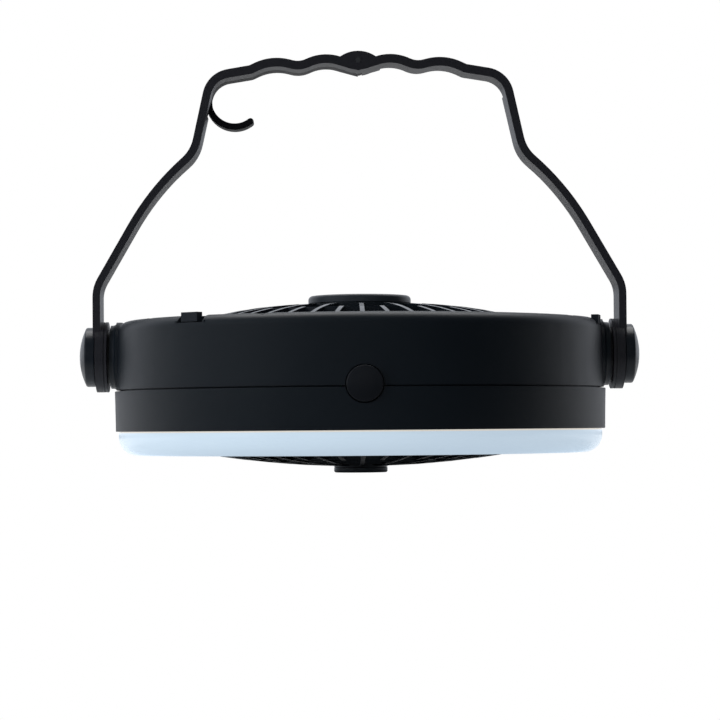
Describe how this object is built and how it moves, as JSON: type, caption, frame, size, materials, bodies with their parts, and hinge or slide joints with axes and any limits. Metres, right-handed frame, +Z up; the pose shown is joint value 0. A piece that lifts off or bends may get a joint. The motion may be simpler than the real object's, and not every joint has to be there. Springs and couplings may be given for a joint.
{
  "type": "portable camping fan",
  "caption": "Round flat fan head with a light ring under it, guards on both faces, a folding strap handle with a finger-wave grip and a swing-out hanging hook.",
  "frame": {"origin": "centre of the flat face of the front hub cap, the lowest point of the fan with its light facing down", "axes": "+Z up along the fan axis, from the light to the rear face; +X along the handle pivots to the right; the power button faces -Y"},
  "size_m": [0.2074, 0.183, 0.1554],
  "materials": {
    "casing": "satin",
    "diffuser": "gloss",
    "guard": "gloss",
    "motor_steel": "satin",
    "magnet": "matte",
    "white_nylon": "satin",
    "brass": "satin",
    "steel": "satin",
    "copper": "satin",
    "impeller_plastic": "satin",
    "white_board": "matte",
    "diode": "gloss",
    "green_board": "satin",
    "component_plastic": "matte",
    "button_plastic": "gloss",
    "cell_jacket": "satin",
    "nickel": "satin",
    "lead_cover": "satin",
    "handle_plastic": "satin",
    "knob_plastic": "satin"
  },
  "bodies": {
    "housing": {"rear_casing": "casing", "front_casing": "casing", "light_diffuser": "diffuser", "rear_guard": "guard", "rear_hub_cap": "guard", "front_guard": "guard", "front_hub_cap": "guard", "motor_can": "motor_steel", "motor_magnets": "magnet", "motor_end_cap": "white_nylon", "motor_terminals": "brass", "motor_screws": "steel", "shaft_bushes": "brass", "light_board": "white_board", "light_diodes": "diode", "light_board_screws": "steel", "control_board": "green_board", "board_parts": "component_plastic", "tact_switch": "component_plastic", "battery_cell_1": "cell_jacket", "battery_cell_2": "cell_jacket", "battery_cell_3": "cell_jacket", "contact_springs": "nickel", "contact_plates": "nickel", "casing_screws": "steel", "motor_leads": "lead_cover", "battery_leads": "lead_cover", "light_leads": "lead_cover", "knob_cap_left": "knob_plastic", "knob_cap_right": "knob_plastic", "pivot_screws": "steel", "friction_washers": "white_nylon", "retaining_washers": "steel"},
    "impeller": {"impeller": "impeller_plastic", "motor_shaft": "steel", "motor_rotor": "copper"},
    "power_button": {"power_button": "button_plastic", "switch_plunger": "white_nylon"},
    "battery_door_1": {"battery_door_1": "casing"},
    "battery_door_2": {"battery_door_2": "casing"},
    "battery_door_3": {"battery_door_3": "casing"},
    "handle": {"handle_band": "handle_plastic", "hook_pin": "steel"},
    "hook": {"handle_hook": "handle_plastic"}
  },
  "joints": [
    {"name": "impeller_spin", "type": "hinge", "parent": "housing", "child": "impeller", "pos_m": [0, 0, 0.03], "axis": [0, 0, 1], "continuous": true},
    {"name": "button_press", "type": "slide", "parent": "housing", "child": "power_button", "axis": [0, 1, 0], "range_m": [0, 0.001], "stiffness_N_per_m": 1500},
    {"name": "battery_door_1_hinge", "type": "hinge", "parent": "housing", "child": "battery_door_1", "pos_m": [-0.04543, -0.04958, 0.05475], "axis": [-0.7373, 0.6756, 0], "range_deg": [0, 90]},
    {"name": "battery_door_2_hinge", "type": "hinge", "parent": "housing", "child": "battery_door_2", "pos_m": [0.06566, -0.01456, 0.05475], "axis": [-0.2164, -0.9763, 0], "range_deg": [0, 90]},
    {"name": "battery_door_3_hinge", "type": "hinge", "parent": "housing", "child": "battery_door_3", "pos_m": [-0.02022, 0.06414, 0.05475], "axis": [0.9537, 0.3007, 0], "range_deg": [0, 90]},
    {"name": "handle_swing", "type": "hinge", "parent": "housing", "child": "handle", "pos_m": [0, 0, 0.0433], "axis": [1, 0, 0], "continuous": true},
    {"name": "hook_swing", "type": "hinge", "parent": "handle", "child": "hook", "pos_m": [0, 0.0052, 0.1519], "axis": [0, 1, 0], "range_deg": [0, 100]}
  ]
}
